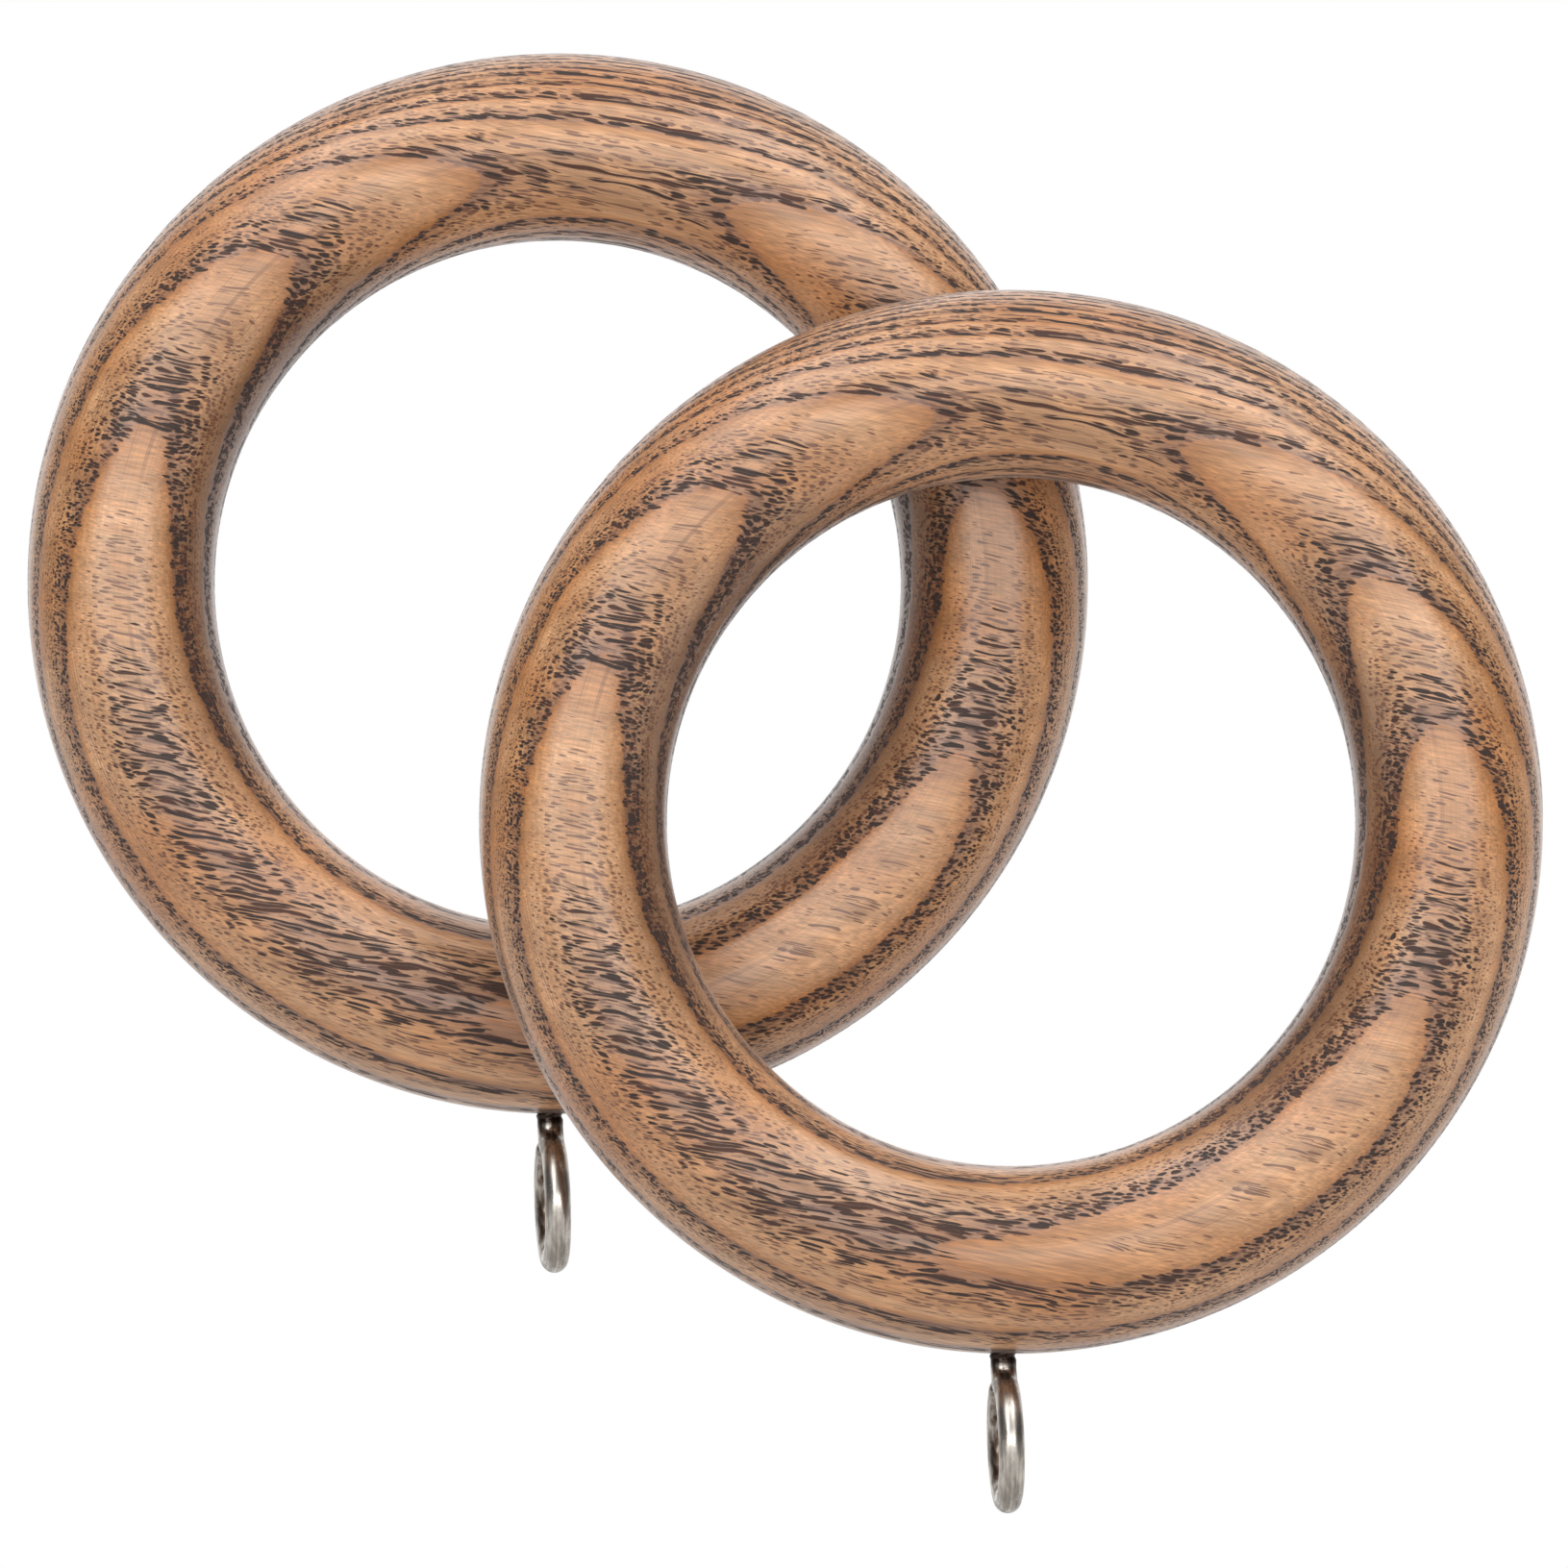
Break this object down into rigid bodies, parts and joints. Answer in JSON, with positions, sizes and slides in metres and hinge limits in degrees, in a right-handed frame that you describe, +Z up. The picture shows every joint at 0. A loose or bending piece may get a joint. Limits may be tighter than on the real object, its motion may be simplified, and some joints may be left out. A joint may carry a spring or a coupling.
{
  "type": "pair of curtain pole rings",
  "caption": "Round turned-wood rings that slide on a curtain pole, each with a steel screw eye below for a curtain hook.",
  "frame": {"origin": "centre of the back ring's bore, on the axis of the curtain pole that the ring hangs on", "axes": "+Z up, +Y along the pole from the front ring towards the back ring, +X to the right as seen from the front ring's side"},
  "size_m": [0.1284, 0.0325, 0.1237],
  "materials": {
    "waxed_wood": "satin",
    "antiqued_steel": "satin"
  },
  "bodies": {
    "back_ring": {"back_ring": "waxed_wood"},
    "back_screw_eye": {"back_screw_eye": "antiqued_steel"},
    "front_ring": {"front_ring": "waxed_wood"},
    "front_screw_eye": {"front_screw_eye": "antiqued_steel"}
  },
  "joints": [
    {"name": "front_ring_slide", "type": "slide", "parent": "back_ring", "child": "front_ring", "axis": [0, -1, 0], "range_m": [0, 0.15]},
    {"name": "back_screw_eye_turn", "type": "hinge", "parent": "back_ring", "child": "back_screw_eye", "pos_m": [-0.00064, 0, -0.045], "axis": [0, 0, 1], "range_deg": [-90, 90]},
    {"name": "front_screw_eye_turn", "type": "hinge", "parent": "front_ring", "child": "front_screw_eye", "pos_m": [0.03776, -0.0165, -0.0652], "axis": [0, 0, 1], "range_deg": [-90, 90]}
  ]
}
